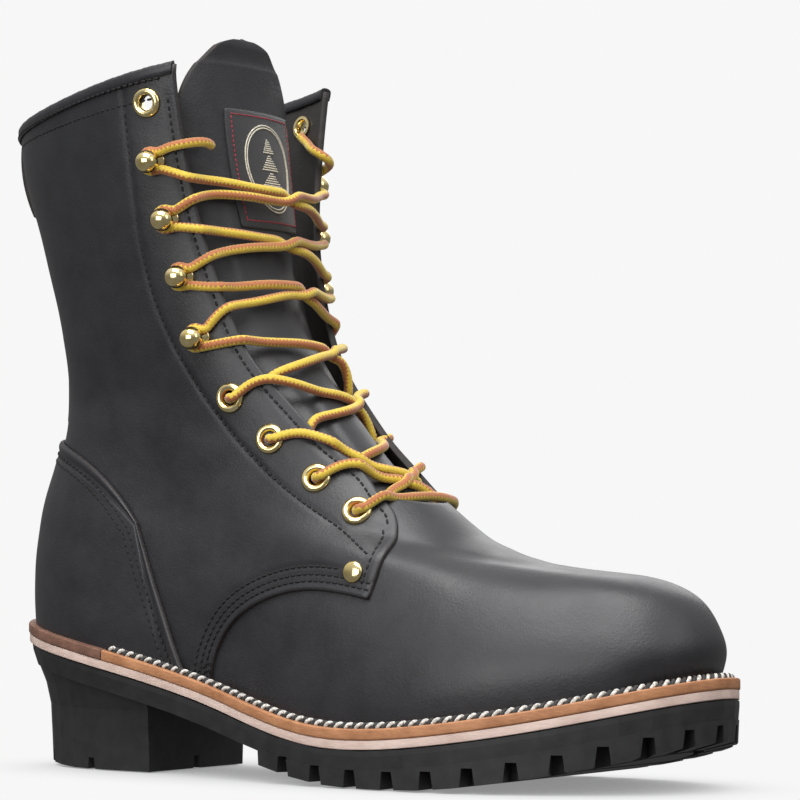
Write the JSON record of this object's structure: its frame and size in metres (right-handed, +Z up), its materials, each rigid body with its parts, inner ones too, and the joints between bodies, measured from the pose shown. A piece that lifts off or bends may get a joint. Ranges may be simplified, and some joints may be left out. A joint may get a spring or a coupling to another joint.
{
  "type": "lace-up logger boot",
  "caption": "Tall black leather lace-up work boot for the right foot, with brass eyelets and hooks, a high block heel and a lugged rubber sole.",
  "frame": {"origin": "centre of the boot's plan outline, on the floor", "axes": "+X towards the toe, +Y towards the inner side of the foot, +Z up from the floor"},
  "size_m": [0.3208, 0.12, 0.2891],
  "materials": {
    "black_leather": "smooth oiled leather with a soft sheen",
    "tan_welt": "raw-edged tan leather",
    "brown_rand": "dyed leather edge",
    "pale_midsole": "pale pinkish leather midsole edge",
    "insole_leather": "dark leather insole board",
    "black_rubber": "matt moulded rubber",
    "brass": "polished pale brass",
    "two_tone_lace": "round braid in yellow and rust brown",
    "label_cloth": "black woven satin"
  },
  "bodies": {
    "root": {"welt": "tan_welt", "heel_rand": "brown_rand", "midsole": "pale_midsole", "insole": "insole_leather", "outsole": "black_rubber", "label_patch": "label_cloth", "eyelet_outer_1": "brass", "eyelet_outer_2": "brass", "eyelet_outer_3": "brass", "eyelet_outer_4": "brass", "eyelet_outer_5": "brass", "eyelet_inner_1": "brass", "eyelet_inner_2": "brass", "eyelet_inner_3": "brass", "eyelet_inner_4": "brass", "eyelet_inner_5": "brass", "hook_outer_1": "brass", "hook_outer_2": "brass", "hook_outer_3": "brass", "hook_outer_4": "brass", "hook_inner_1": "brass", "hook_inner_2": "brass", "hook_inner_3": "brass", "hook_inner_4": "brass", "rivet_outer": "brass", "rivet_inner": "brass", "lace_bar": "two_tone_lace", "lace_cross_1": "two_tone_lace", "lace_cross_2": "two_tone_lace", "lace_cross_3": "two_tone_lace", "lace_cross_4": "two_tone_lace", "lace_cross_5": "two_tone_lace", "lace_cross_6": "two_tone_lace", "lace_cross_7": "two_tone_lace", "lace_end_outer": "two_tone_lace", "lace_end_inner": "two_tone_lace", "upper": "black_leather", "heel_counter": "black_leather", "back_stay": "black_leather", "collar_binding": "black_leather", "tongue": "black_leather"}
  },
  "joints": []
}
